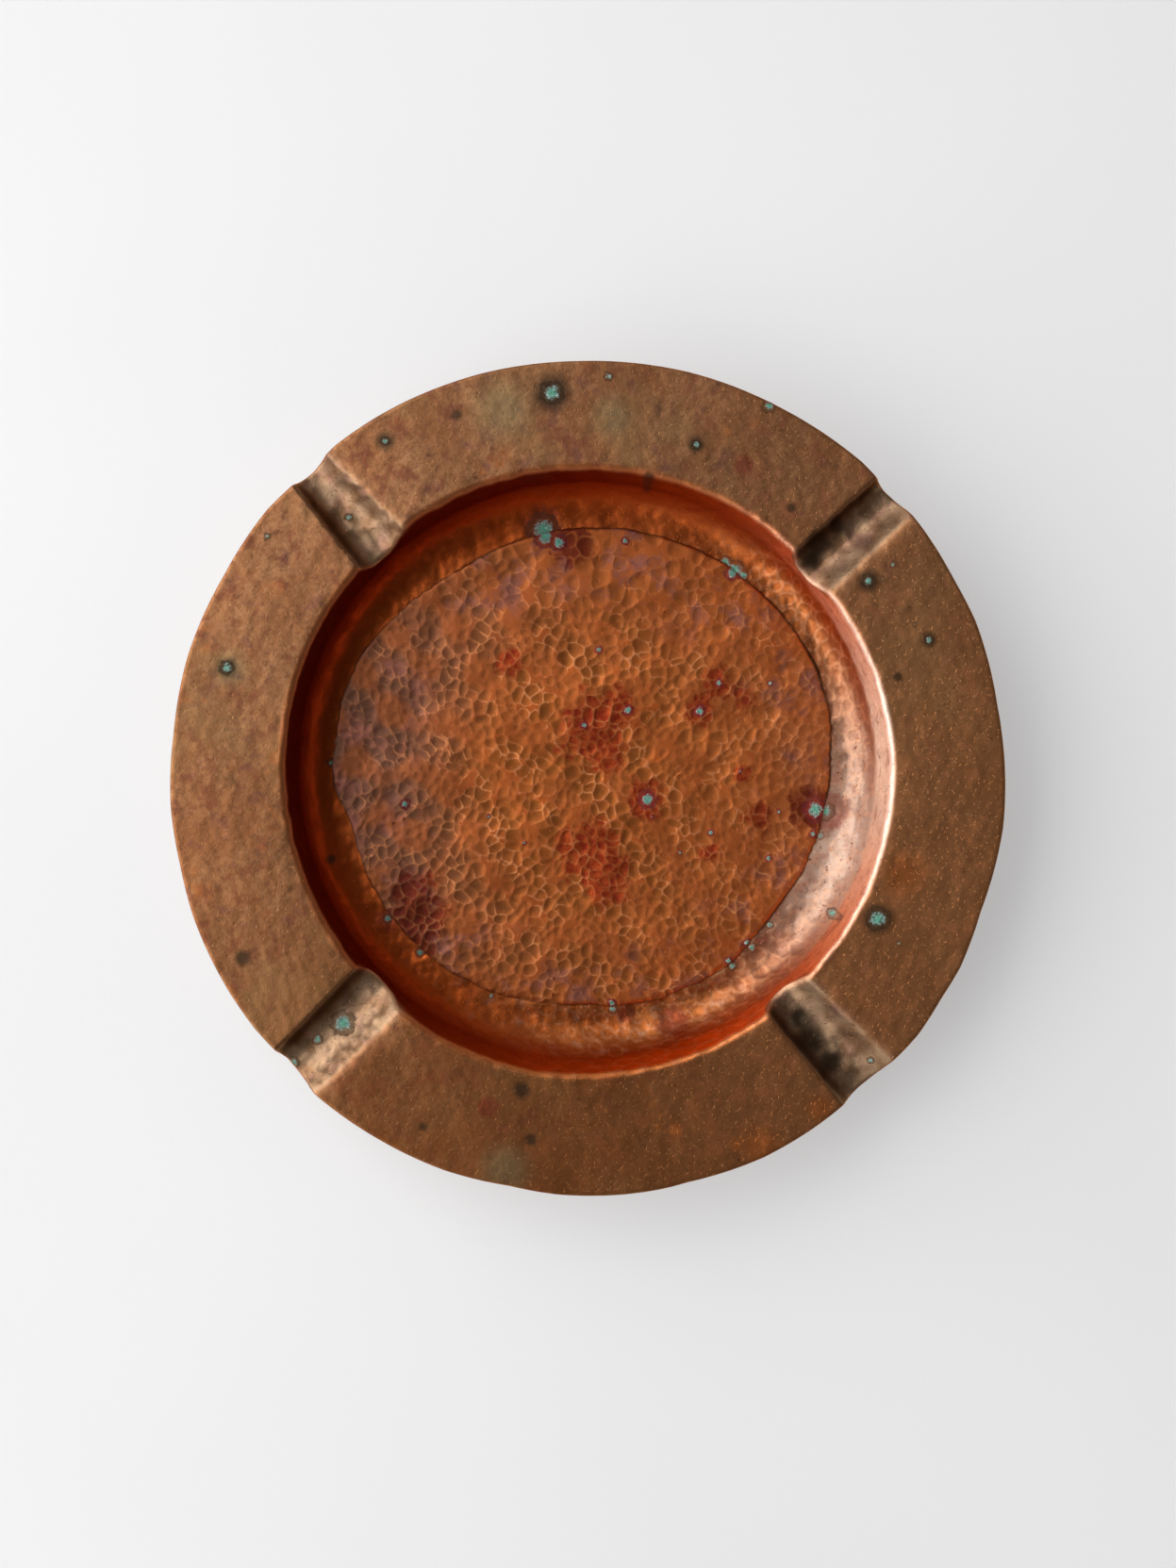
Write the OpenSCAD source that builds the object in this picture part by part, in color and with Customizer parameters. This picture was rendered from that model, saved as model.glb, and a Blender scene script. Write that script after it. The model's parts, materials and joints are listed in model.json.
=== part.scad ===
// Round dish raised from one copper sheet, with a broad flat rim, four trough-shaped
// rests pressed in the rim, and a hammered copper disc soldered to the floor of its well.
// Millimetres. +Z is up, the dish stands on Z = 0, and Z is the axis of the rim's outer edge.
// The rests lie close to +X, +Y, -X and -Y.

/* [Sheet] */
// Thickness of the copper sheet
sheet_t = 1.2; // [0.8:0.1:1.8]

/* [Rim] */
// Diameter of the rim's outer edge
rim_d = 203; // [190:1:230]
// Height of the rim's top face above the table
rim_h = 26; // [22:0.5:32]

/* [Well] */
// Diameter of the well just under the rounded mouth
well_d = 146; // [142:1:150]
// Sideways place of the well's centre: hand raising left it off centre
well_x = 1.4; // [-2:0.1:2]
// Endways place of the well's centre
well_y = 1.9; // [-2:0.1:2]
// How far the wall leans outwards from upright, in degrees
wall_lean = 4; // [0:1:8]
// Radius where the wall curves into the floor, on the inside
foot_r = 9.5; // [6:0.5:10]
// Radius where the wall rolls over into the rim, on the top
mouth_r = 2; // [2:0.1:4]

/* [Rests] */
// Inside radius of the trough of a rest
rest_r = 7.2; // [6:0.1:8]
// Depth of a trough below the rim's top face
rest_depth = 5; // [4:0.1:6]

/* [Floor disc] */
// Diameter of the disc
disc_d = 123; // [100:1:123]
// Thickness of the disc
disc_t = 0.8; // [0.6:0.1:1.2]
// Thickness of the solder under the disc
solder_t = 0.1; // [0.1:0.05:0.3]
// How far the solder stays back from the edge of the disc
solder_inset = 1; // [0.5:0.5:4]

/* [Hidden] */

$fn = 96;
// Bearings of the four rests, as struck by eye a degree or so off square
rest_bearings = [-0.4, 89, 182, 269.4];
// The disc's centre, measured from the well's centre
disc_off = [-0.4, 1.3];
// Steps in each rounded stretch of the sheet's outline
arc_steps = 8;
// Flat rim that the turned shell takes with it beyond its rolled mouth
shell_flange = 2;
// How far inside the wall the bar that forms a trough starts
rest_lead = 12;

floor_z = sheet_t;
arcs_h = (foot_r + mouth_r) * (1 - sin(wall_lean));
wall_len = (rim_h - floor_z - arcs_h) / cos(wall_lean);
floor_r = well_d / 2 - foot_r * cos(wall_lean) - wall_len * sin(wall_lean);
shell_r = well_d / 2 + mouth_r + shell_flange;
rest_axis_z = rim_h - rest_depth + rest_r;

copper = [0.62, 0.36, 0.22];
worn_copper = [0.72, 0.40, 0.24];
solder_grey = [0.62, 0.62, 0.60];

// Points of one face of the sheet, from the floor out to the flat rim. deep is how far the
// face lies under the visible one: 0 for the top face, the sheet's thickness for the underside.
function face_points(deep) =
    let (
        foot = [floor_r, floor_z + foot_r],
        foot_end = foot + foot_r * [cos(wall_lean), -sin(wall_lean)],
        wall_end = foot_end + wall_len * [sin(wall_lean), cos(wall_lean)],
        mouth = wall_end + mouth_r * [cos(wall_lean), -sin(wall_lean)]
    )
    concat(
        [[0, floor_z - deep]],
        [for (i = [0 : arc_steps])
            let (a = i * (90 - wall_lean) / arc_steps)
            foot + (foot_r + deep) * [sin(a), -cos(a)]],
        [for (i = [0 : arc_steps])
            let (a = wall_lean + i * (90 - wall_lean) / arc_steps)
            mouth + (mouth_r - deep) * [-cos(a), sin(a)]],
        [[shell_r, rim_h - deep]]
    );

// Section of the sheet: out along the top face and back along the underside
function sheet_section() =
    let (top = face_points(0), under = face_points(sheet_t))
    concat(top, [for (i = [len(under) - 1 : -1 : 0]) under[i]]);

// Section of the space inside the well, down to the middle of the sheet
function well_space_section() =
    concat(face_points(sheet_t / 2), [[shell_r, 2 * rim_h], [0, 2 * rim_h]]);

module at_well() {
    translate([well_x, well_y, 0]) children();
}

// Floor, wall and rolled mouth of the well, turned about its own centre
module well_shell() {
    at_well() rotate_extrude() polygon(sheet_section());
}

// Flat rim around the mouth
module rim_plate() {
    difference() {
        translate([0, 0, rim_h - sheet_t]) cylinder(h = sheet_t, d = rim_d);
        at_well() cylinder(h = 2 * rim_h, r = shell_r);
    }
}

// Round bar along the trough of the rest at a bearing
module rest_bar(bearing, r) {
    rotate([0, 0, bearing])
        translate([well_d / 2 - rest_lead, 0, rest_axis_z])
            rotate([0, 90, 0]) cylinder(h = rim_d, r = r);
}

// The sheet pushed down around one trough, from the wall of the well to the rim's edge
module rest_trough(bearing) {
    difference() {
        intersection() {
            rest_bar(bearing, rest_r + sheet_t);
            cylinder(h = rim_h, d = rim_d);
        }
        at_well() rotate_extrude() polygon(well_space_section());
    }
}

// The whole raised dish: one sheet
module dish() {
    color(copper) difference() {
        union() {
            well_shell();
            rim_plate();
            for (bearing = rest_bearings) rest_trough(bearing);
        }
        for (bearing = rest_bearings) rest_bar(bearing, rest_r);
    }
}

module at_disc(z) {
    at_well() translate([disc_off[0], disc_off[1], z]) children();
}

// Film of soft solder between the floor and the disc
module solder_film() {
    color(solder_grey) at_disc(floor_z) cylinder(h = solder_t, d = disc_d - 2 * solder_inset);
}

// Hammered disc on the floor of the well
module floor_disc() {
    color(worn_copper) at_disc(floor_z + solder_t) cylinder(h = disc_t, d = disc_d);
}

dish();
solder_film();
floor_disc();
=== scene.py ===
"""Looks of a raised copper dish: hammered well, broad planished rim, four rests and a soldered disc.

Lengths are millimetres until a mesh is made. Bearings are degrees from +X, turning towards +Y.
Reach is the distance from the centre of the well, and radius the distance from the dish's axis.
"""

import json
import math
from collections import namedtuple

import bpy
import numpy as np
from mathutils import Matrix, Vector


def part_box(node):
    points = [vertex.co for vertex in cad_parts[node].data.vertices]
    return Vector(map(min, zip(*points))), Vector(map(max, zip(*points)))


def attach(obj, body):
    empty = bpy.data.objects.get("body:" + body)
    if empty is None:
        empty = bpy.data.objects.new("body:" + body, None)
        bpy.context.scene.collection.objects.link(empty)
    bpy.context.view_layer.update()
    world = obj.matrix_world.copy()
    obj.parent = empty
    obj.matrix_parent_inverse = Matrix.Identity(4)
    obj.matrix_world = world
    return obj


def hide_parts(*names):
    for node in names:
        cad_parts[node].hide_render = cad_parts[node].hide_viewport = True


MM = 0.001

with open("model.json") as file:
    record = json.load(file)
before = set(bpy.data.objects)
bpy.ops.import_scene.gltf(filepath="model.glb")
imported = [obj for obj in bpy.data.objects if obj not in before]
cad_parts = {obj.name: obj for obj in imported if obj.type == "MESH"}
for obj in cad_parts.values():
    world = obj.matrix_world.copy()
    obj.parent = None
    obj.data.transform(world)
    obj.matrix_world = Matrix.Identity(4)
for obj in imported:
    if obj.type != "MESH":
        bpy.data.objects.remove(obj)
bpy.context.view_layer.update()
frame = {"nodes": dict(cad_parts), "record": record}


def box_mm(node):
    """Lowest and highest corner of a CAD node, in millimetres."""
    return [np.array(corner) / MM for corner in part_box(node)]


# ---------------------------------------------------------------- sizes

dish_low, dish_high = box_mm("dish")
disc_low, disc_high = box_mm("floor_disc")
film_low = box_mm("solder_film")[0]

RIM_RADIUS = (dish_high[0] - dish_low[0]) / 2
RIM_TOP = dish_high[2]
DISC_TOP = disc_high[2]
DISC_UNDER = disc_low[2]
WELL = np.array(frame["record"]["mounts"][0]["pos_m"][:2]) / MM

SHEET = film_low[2]          # the film lies on the floor, one sheet up from the table
WELL_REACH = 73.0            # the wall, just under the rolled mouth
WALL_LEAN = math.radians(4)
FOOT = 9.5                   # radius where the wall curves into the floor
MOUTH = 2.0                  # radius where the wall rolls over into the rim
REST_DEPTH = 5.0
LIP_BULGE = 1.7              # how far the lip of a rest is pushed in over the well
FLOOR_RISE = 0.45            # the floor outside the disc stands this much above the floor under it
PRESS_FOOT = 10.0            # height on the wall where the push of a rest begins
MIDDLE_RING = 8.0            # way along the sheet to its innermost ring, hidden under the disc
EDGE_ROUND = 0.5             # how far the rounded edge of the sheet reaches past its last flat ring
DISH_COLUMNS = 640
DISC_SIDE = 300              # points along each side of the grid rolled into the disc

# The sheet is laid out by the way along it from the centre of the well.
TURN = math.pi / 2 - WALL_LEAN
WALL_RUN = (RIM_TOP - SHEET - (FOOT + MOUTH) * (1 - math.sin(WALL_LEAN))) / math.cos(WALL_LEAN)
FOOT_START = WELL_REACH - FOOT * math.cos(WALL_LEAN) - WALL_RUN * math.sin(WALL_LEAN)
FOOT_END = FOOT_START + FOOT * TURN
WALL_END = FOOT_END + WALL_RUN
MOUTH_END = WALL_END + MOUTH * TURN

# Half widths of a rest at the rim's edge and at the mouth. One side is a crisp step and the other
# a soft slope: crisp is 1 where the counter-clockwise side is the crisp one, and -1 where it isn't.
Rest = namedtuple("Rest", "bearing outer inner crisp")
RESTS = [
    Rest(-0.4, 6.0, 6.4, 1), Rest(89.0, 5.3, 7.3, 1), Rest(182.0, 6.8, 7.2, -1),
    Rest(269.4, 7.8, 6.5, -1),
]
CRISP_POWER, CRISP_ROLL = 3.4, 0.5
SOFT_POWER, SOFT_ROLL = 1.9, 1.5

# Hammer work of each zone: gap between blows, ball radius of the hammer's face, and how far it sinks
Work = namedtuple("Work", "gap ball sink")
FLOOR_WORK = Work(3.4, 17, 0.06)
WALL_WORK = Work(4.6, 20, 0.15)
RIM_WORK = Work(7.5, 90, 0.06)
REST_WORK = Work(4.6, 30, 0.13)
LIVELY_SINK = 0.13           # added to the floor's sink on the side that faces the window

# Rows of blows struck along the rests, each at a way out from the dish's axis and a way left of
# the rest's middle
Blow = namedtuple("Blow", "bearing out left ball sink")
REST_BLOWS = (
    [Blow(182.0, 76.5 + 3.8 * n, 3.6, 5.5, 0.40) for n in range(7)]
    + [Blow(182.0, 78.4 + 3.8 * n, 6.2, 5.0, 0.36) for n in range(6)]
    + [Blow(89.0, 77.5 + 7.0 * n, -2.6, 20.0, 0.42) for n in range(4)]
    + [Blow(89.0, 80.5 + 7.0 * n, 2.4, 24.0, 0.30) for n in range(4)]
    + [Blow(89.0, 76.0 + 4.3 * n, -5.4 - 0.6 * (n % 2), 5.5, 0.32) for n in range(6)]
    + [Blow(-0.4, 78.0 + 6.0 * n, 1.0, 16.0, 0.30) for n in range(4)]
    + [Blow(269.4, 78.0 + 5.0 * n, -1.5, 12.0, 0.30) for n in range(5)]
)

# Bearing, and how far the hand-cut edge falls inside the rim's full radius
EDGE_CUTS = [
    (1, 0.6), (6, 0.0), (20, 0.2), (33, 0.0), (48, 0.3), (62, 0.0), (75, 0.0), (84, 0.1),
    (89, 0.9), (97, 0.0), (108, 0.4), (120, 0.0), (131, 0.4), (141, 0.0), (149, 0.3), (156, 0.0),
    (168, 0.1), (174, 0.3), (180, 1.0), (186, 0.0), (195, 0.1), (207, 0.1), (216, 0.7), (223, 0.1),
    (231, 0.0), (237, 0.1), (241, 0.4), (252, 0.0), (260, 0.4), (268, 0.9), (279, 0.0), (285, 0.4),
    (290, 0.1), (298, 0.8), (310, 0.0), (327, 0.6), (339, 0.0), (345, 0.4), (357, 0.1),
]

# Bearing, and how far the mouth stands in (-) or out (+) of a true circle
MOUTH_WANDER = [
    (15, -0.6), (30, -0.9), (60, -0.6), (90, -0.2), (120, 0.0), (150, -0.2), (180, 0.4),
    (210, 1.0), (240, 0.6), (270, 0.3), (300, 0.4), (330, 0.1), (345, -0.8),
]

# Bearing and radius of the disc's outline
DISC_OUTLINE = [
    (0, 64.0), (20, 64.0), (40, 63.4), (60, 62.7), (80, 62.0), (95, 63.4), (110, 65.2),
    (130, 64.5), (140, 63.9), (143, 62.4), (160, 60.9), (180, 60.5), (200, 59.3), (215, 58.0),
    (225, 57.2), (240, 58.2), (255, 58.5), (265, 59.0), (273, 58.0), (290, 58.6), (305, 59.8),
    (320, 61.3), (335, 63.4), (350, 64.1),
]

# Places of marks: bearing, radius, size. Those of the dish lie on its rim, rests, wall and foot.
DISH_VERDIGRIS = [
    (52.3, 93.8, 1.9), (44, 97.4, 0.8), (21, 100.4, 1.2), (29, 84.9, 0.8), (78, 95.3, 0.8),
    (100, 97.3, 0.6), (120, 91.5, 1.2), (352, 83.1, 1.1), (352, 90.2, 0.6), (351, 86.2, 0.5),
    (339, 89.2, 0.8), (342, 87.4, 0.4), (291, 78.1, 2.0), (289, 85.4, 0.5), (89.5, 86.5, 0.7),
    (182, 84.7, 2.0), (181, 91.9, 0.9), (181, 100.3, 1.1), (272, 97.4, 0.6), (288, 70, 0.9),
    (57, 64, 2.6), (55, 60.5, 0.9), (11.8, 64.6, 1.6), (14.5, 64.8, 1.2), (9.5, 64.7, 1.0),
    (309, 60.6, 1.5), (303, 60.6, 0.7), (271, 59.6, 0.8), (264.5, 59.9, 0.8), (233, 58.8, 0.8),
    (203, 60.3, 0.6), (183, 61.3, 0.8), (172, 61.8, 0.8), (133.5, 65, 0.8), (278, 59.0, 0.7),
]
DISC_VERDIGRIS = [
    (297, 16, 1.5), (286, 19, 0.4), (348, 33, 1.0), (16.5, 20, 0.9), (51.5, 13.4, 0.7),
    (42, 32.6, 0.7), (38, 60.7, 0.7), (353, 41, 0.7), (344.5, 52, 0.5), (319.5, 38.5, 0.4),
    (307, 49, 0.5), (293, 34, 0.6), (278, 30, 0.4), (293, 50, 0.6), (145, 46.7, 0.9),
    (158, 27, 0.4), (182.5, 23, 0.4), (57, 62, 1.9), (54, 60, 1.4), (309, 58, 2.0),
    (303, 58.6, 0.7), (271, 57.9, 0.7), (264.5, 58.3, 0.7), (233, 57.2, 0.8), (11.8, 63.5, 1.3),
]
DISH_CRIMSON = [
    (20.5, 84.9, 1.5), (210, 83.5, 1.6), (57, 65, 3.0), (309, 61.5, 3.4), (246, 65, 2.6),
    (172, 62, 2.0), (236, 60, 1.6),
]
DISC_CRIMSON = [
    (297, 16, 2.6), (348, 33, 2.3), (40, 13, 5.2), (25, 19, 3.2), (20, 9, 3.6), (228, 18, 4.6),
    (236, 27, 3.4), (244, 23, 2.6), (177, 57, 4.4), (171, 53, 3.6), (81, 35.6, 2.0), (353, 41, 2.4),
    (344, 45, 1.6), (51, 59, 3.2), (309, 56.5, 3.2), (285, 36, 1.6), (319, 39, 1.3), (304, 44, 2.2),
]
DISH_SOOT = [
    (52.3, 93.8, 3.2), (352, 83.1, 1.9), (215, 77.4, 1.4), (10, 81.9, 0.8), (335, 79, 0.8),
    (35.5, 74.5, 0.9), (154.5, 68, 0.8), (78, 95.3, 1.6), (339, 89.2, 1.3), (291, 78.1, 2.4),
    (29, 84.9, 1.4), (120, 91.5, 1.6), (164.5, 94.4, 1.3), (2.6, 80, 1.9), (2.4, 86.5, 1.3),
    (1.4, 76.5, 1.6), (267.5, 84, 2.2), (268.5, 78.5, 1.8), (267.6, 91, 1.8), (66.8, 93.6, 0.9),
    (201.7, 93.6, 0.8), (218, 88.8, 1.0),
]
DISH_PALE_GREEN = [(43, 87.7, 3.6), (60, 92, 5.0), (215, 97, 4.0), (120, 91, 3.0), (152, 62.5, 3.0)]
DISH_ORANGE = [(241, 87.9, 1.2), (249, 95.9, 1.4), (252, 98.6, 3.4), (262, 98, 2.4), (300, 80, 4.0)]


# ---------------------------------------------------------------- shaping helpers

def ease(value, start, end):
    """0 before start, 1 after end, and smooth between them."""
    share = np.clip((value - start) / (end - start), 0, 1)
    return share * share * (3 - 2 * share)


def bump(value, centre, width):
    """1 at the centre, fading to nothing about two widths away."""
    return np.exp(-((value - centre) / width) ** 2)


def turned_from(bearings, middle):
    """Degrees from the middle bearing to the others, between -180 and 180."""
    return (bearings - middle + 180) % 360 - 180


def side_bump(bearings, middle, width):
    """1 on the middle bearing, fading to nothing about two widths away."""
    return bump(turned_from(bearings, middle), 0, width)


def seam_shadow_side(bearings):
    """How dark the seam round the disc is painted, from 0.6 to 1: darkest on the side away from the
    window, as painted shadow of the disc's edge.
    """
    return 0.6 + 0.4 * side_bump(bearings, 338, 55)


def ripple(places, size, seed, waves=8):
    """Smooth random waves about size long, mostly between -1 and 1."""
    rng = np.random.default_rng(seed)
    total = np.zeros(len(places))
    for _ in range(waves):
        way = rng.normal(size=places.shape[1])
        way *= 2 * math.pi / (size * rng.uniform(0.7, 1.5) * np.linalg.norm(way))
        total += np.sin(places @ way + rng.uniform(0, 2 * math.pi))
    return total * 1.2 / math.sqrt(waves)


def ring_value(points, bearings):
    """Smooth closed curve of a value through (bearing, value) points."""
    known = np.array(sorted(points), float)
    around = np.concatenate([known - [360, 0], known, known + [360, 0]])
    at, value = around.T
    tangent = np.gradient(value, at)
    bearings = np.mod(bearings, 360)
    i = np.searchsorted(at, bearings, side="right") - 1
    span = at[i + 1] - at[i]
    t = (bearings - at[i]) / span
    return ((2 * t**3 - 3 * t**2 + 1) * value[i] + (t**3 - 2 * t**2 + t) * span * tangent[i]
            + (3 * t**2 - 2 * t**3) * value[i + 1] + (t**3 - t**2) * span * tangent[i + 1])


def edge_radius(bearings):
    """Radius of the rim's hand-cut edge: nearly straight cuts between corners."""
    at, cut = np.array(EDGE_CUTS, float).T
    return RIM_RADIUS - np.interp(bearings, at, cut, period=360)


def disc_radius(bearings):
    """Radius of the disc's outline, with the small waver of a hand-cut edge."""
    angle = np.radians(bearings)
    around = np.stack([60 * np.cos(angle), 60 * np.sin(angle)], -1).reshape(-1, 2)
    waver = 0.14 * ripple(around, 9, 81) + 0.07 * ripple(around, 2.6, 82)
    return ring_value(DISC_OUTLINE, bearings) + waver.reshape(np.shape(bearings))


def polar(x, y):
    """Radius and bearing of a place."""
    return np.hypot(x, y), np.degrees(np.arctan2(y, x))


def spot_level(places, spots):
    """Level of the nearest mark: 1 at its middle, 0.6 at its size, 0 at two and a half sizes."""
    level = np.zeros(len(places))
    for bearing, radius, size in spots:
        angle = math.radians(bearing)
        middle = radius * np.array([math.cos(angle), math.sin(angle)])
        away = np.hypot(*(places[:, :2] - middle).T)
        level = np.maximum(level, 1 - away / (2.5 * size))
    return level


def scatter(places, spacing, seed):
    """Indexes of places picked at random, with none closer to another than its spacing."""
    rng = np.random.default_rng(seed)
    order = rng.permutation(len(places))
    kept = np.empty(len(places), int)
    count = 0
    for i in order:
        gap = ((places[kept[:count]] - places[i]) ** 2).sum(1)
        if count == 0 or gap.min() > spacing[i] ** 2:
            kept[count] = i
            count += 1
    return kept[:count]


def hammer(places, blows, ball, sink):
    """Dents left by round hammer blows in flat ground at height 0.

    Gives the height, the move that takes a place to the nearest ridge or lip, and the lowest blow.
    """
    height = np.empty(len(places))
    move = np.empty(places.shape)
    owner = np.empty(len(places), int)
    for first in range(0, len(places), 4096):
        part = slice(first, first + 4096)
        here = places[part]
        square = (here**2).sum(1)[:, None] + (blows**2).sum(1) - 2 * here @ blows.T
        dents = square / (2 * ball) - sink
        rows = np.arange(len(here))
        low = dents.argmin(1)
        lowest = dents[rows, low]
        dents[rows, low] = np.inf
        near = dents.argmin(1)
        slope = (here - blows[low]) / ball[low][:, None]
        change = (here - blows[near]) / ball[near][:, None] - slope
        steep = np.maximum((slope**2).sum(1), 1e-6)
        turn = np.maximum((change**2).sum(1), 1e-6)
        to_ridge = ((lowest - dents[rows, near]) / turn)[:, None] * change
        to_lip = (-lowest / steep)[:, None] * slope
        by_lip = (lowest > 0) | (lowest**2 / steep < (lowest - dents[rows, near]) ** 2 / turn)
        height[part] = np.minimum(lowest, 0)
        move[part] = np.where(by_lip[:, None], to_lip, to_ridge)
        owner[part] = low
    return height, move, owner


# ---------------------------------------------------------------- the raised sheet

def sheet_line(along):
    """Reach and height of the sheet's top face, a way along it from the centre of the well."""
    foot = np.clip((along - FOOT_START) / FOOT, 0, TURN)
    wall = np.clip(along - FOOT_END, 0, WALL_RUN)
    mouth = WALL_LEAN + np.clip((along - WALL_END) / MOUTH, 0, TURN)
    flat = np.minimum(along, FOOT_START) + np.maximum(along - MOUTH_END, 0)
    reach = (flat + FOOT * np.sin(foot) + wall * math.sin(WALL_LEAN)
             + MOUTH * (math.cos(WALL_LEAN) - np.cos(mouth)))
    height = (SHEET + FOOT * (1 - np.cos(foot)) + wall * math.cos(WALL_LEAN)
              + MOUTH * (np.sin(mouth) - math.sin(WALL_LEAN)))
    return reach, height


def way_to_reach(reach):
    """Way along the sheet to a reach on the floor or on the foot's curve."""
    over = np.clip((reach - FOOT_START) / FOOT, 0, 1)
    return np.minimum(reach, FOOT_START) + FOOT * np.arcsin(over)


def reach_of(outline, bearings):
    """Reach, on bearings about the well's centre, of an outline drawn about the dish's axis."""
    out = np.stack([np.cos(np.radians(bearings)), np.sin(np.radians(bearings))])
    ahead = WELL @ out
    reach = np.full(len(bearings), WELL_REACH)
    for _ in range(4):
        x, y = WELL[:, None] + reach * out
        radius = outline(polar(x, y)[1])
        reach = np.sqrt(ahead**2 + radius**2 - WELL @ WELL) - ahead
    return reach


def rest_press(x, y):
    """How far the rests push the sheet down at a place."""
    drop = np.zeros(x.shape)
    for rest in RESTS:
        angle = math.radians(rest.bearing)
        out = x * math.cos(angle) + y * math.sin(angle)
        left = y * math.cos(angle) - x * math.sin(angle)
        half = np.interp(out, [WELL_REACH, RIM_RADIUS], [rest.inner, rest.outer])
        crisp = ease(left * rest.crisp, -1, 1)
        power = SOFT_POWER + (CRISP_POWER - SOFT_POWER) * crisp
        roll = SOFT_ROLL + (CRISP_ROLL - SOFT_ROLL) * crisp
        raw = REST_DEPTH * (1 - (np.abs(left) / half) ** power)
        rolled = (raw + np.sqrt(raw**2 + roll**2)) / (REST_DEPTH + np.sqrt(REST_DEPTH**2 + roll**2))
        drop += np.where(out > 0, REST_DEPTH * rolled, 0)
    return drop


def crease_shade_level(x, y):
    """How much painted shade lies at a place under the crisp side of a rest, along its steep crease."""
    painted_crease_shade = np.zeros(x.shape)
    for rest in RESTS:
        angle = math.radians(rest.bearing)
        out = x * math.cos(angle) + y * math.sin(angle)
        left = (y * math.cos(angle) - x * math.sin(angle)) * rest.crisp
        half = np.interp(out, [WELL_REACH, RIM_RADIUS], [rest.inner, rest.outer])
        painted_crease_shade += np.where(out > 0, bump(left / half, 0.85, 0.2), 0)
    return painted_crease_shade


def press_sheet(along, columns, seam):
    """Top face of the sheet in three dimensions, without the hammer's marks."""
    reach, height = sheet_line(along)
    angle = np.radians(columns)[None, :]
    wander = ring_value(MOUTH_WANDER, columns)[None, :]
    up_wall = ease(along, FOOT_START, WALL_END) * (1 - ease(along, MOUTH_END, MOUTH_END + 6))
    reach = reach + wander * up_wall
    x = WELL[0] + reach * np.cos(angle)
    y = WELL[1] + reach * np.sin(angle)
    drop = rest_press(x, y)
    share = np.clip((height - PRESS_FOOT) / (RIM_TOP - PRESS_FOOT), 0, 1)
    lip = np.where(along > MOUTH_END, bump(along, MOUTH_END, 4.5), bump(height, RIM_TOP, 4.0))
    pull = LIP_BULGE * drop / REST_DEPTH * lip
    x = x - pull * np.cos(angle)
    y = y - pull * np.sin(angle)
    raised = ease(along, seam - 3, seam - 0.5) * (1 - ease(along, FOOT_START, FOOT_START + 7))
    z = height - drop * share + FLOOR_RISE * raised
    return np.stack([x, y, z], -1), drop


def place_at(places, bearing, out, left):
    """Index of the place nearest to a point given by its way out along a bearing and its way left."""
    angle = math.radians(bearing)
    ahead = np.array([math.cos(angle), math.sin(angle)])
    point = out * ahead + left * np.array([-ahead[1], ahead[0]])
    return np.hypot(*(places[:, :2] - point).T).argmin()


def face_normals(grid):
    """Upward normals of a closed grid of rings and columns."""
    outward = np.gradient(grid, axis=0)
    around = np.roll(grid, -1, axis=1) - np.roll(grid, 1, axis=1)
    normal = np.cross(outward, around)
    return normal / np.maximum(np.linalg.norm(normal, axis=-1, keepdims=True), 1e-9)


def column_bearings(count):
    """Bearings of the columns, closer together in the rests."""
    fine = np.linspace(0, 360, 7201)
    crowd = np.ones(len(fine))
    for rest in RESTS:
        away = turned_from(fine, rest.bearing)
        crowd += 1.2 * np.exp(-(away / 7.5) ** 4)
    share = np.concatenate([[0], np.cumsum(crowd[:-1])])
    return np.interp(np.arange(count) * share[-1] / count, share, fine)


def top_rows(seam, edge):
    """Ways along the sheet of every ring of the top face, one row a ring."""
    middle, foot_end, wall_end, mouth_end = (
        np.full_like(seam, along) for along in (MIDDLE_RING, FOOT_END, WALL_END, MOUTH_END))
    flat_end = edge - EDGE_ROUND
    stretches = [
        (middle, seam - 3, 6), (seam - 3, seam - 0.6, 3), (seam - 0.6, seam + 1, 7),
        (seam + 1, foot_end, 34), (foot_end, wall_end, 24), (wall_end, mouth_end, 9),
        (mouth_end, flat_end, 44),
    ]
    rows = [start + (end - start) * i / count for start, end, count in stretches for i in range(count)]
    return np.array(rows + [flat_end])


def under_rows(edge):
    """Ways along the sheet of the rings of the underside, from the edge in to the middle."""
    fixed = np.concatenate([
        np.linspace(MOUTH_END, WALL_END, 5), np.linspace(WALL_END, FOOT_END, 11)[1:],
        np.linspace(FOOT_END, FOOT_START, 11)[1:], np.linspace(FOOT_START, MIDDLE_RING, 10)[1:],
    ])
    flat_end = edge - EDGE_ROUND
    rim = [flat_end + (MOUTH_END - edge + EDGE_ROUND) * i / 12 for i in range(12)]
    return np.array(rim + [np.full_like(edge, along) for along in fixed])


def zone_of(along, drop):
    """How much a place belongs to the floor of the well, the wall, the rim and a rest."""
    rest = ease(drop, 0.02, 0.8) * ease(along, WALL_END - 3, WALL_END)
    rim = ease(along, WALL_END + 1, MOUTH_END + 0.5) * (1 - rest)
    wall = ease(along, FOOT_END - 3, FOOT_END + 1) * (1 - rim) * (1 - rest)
    return 1 - rim - wall - rest, wall, rim, rest


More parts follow.
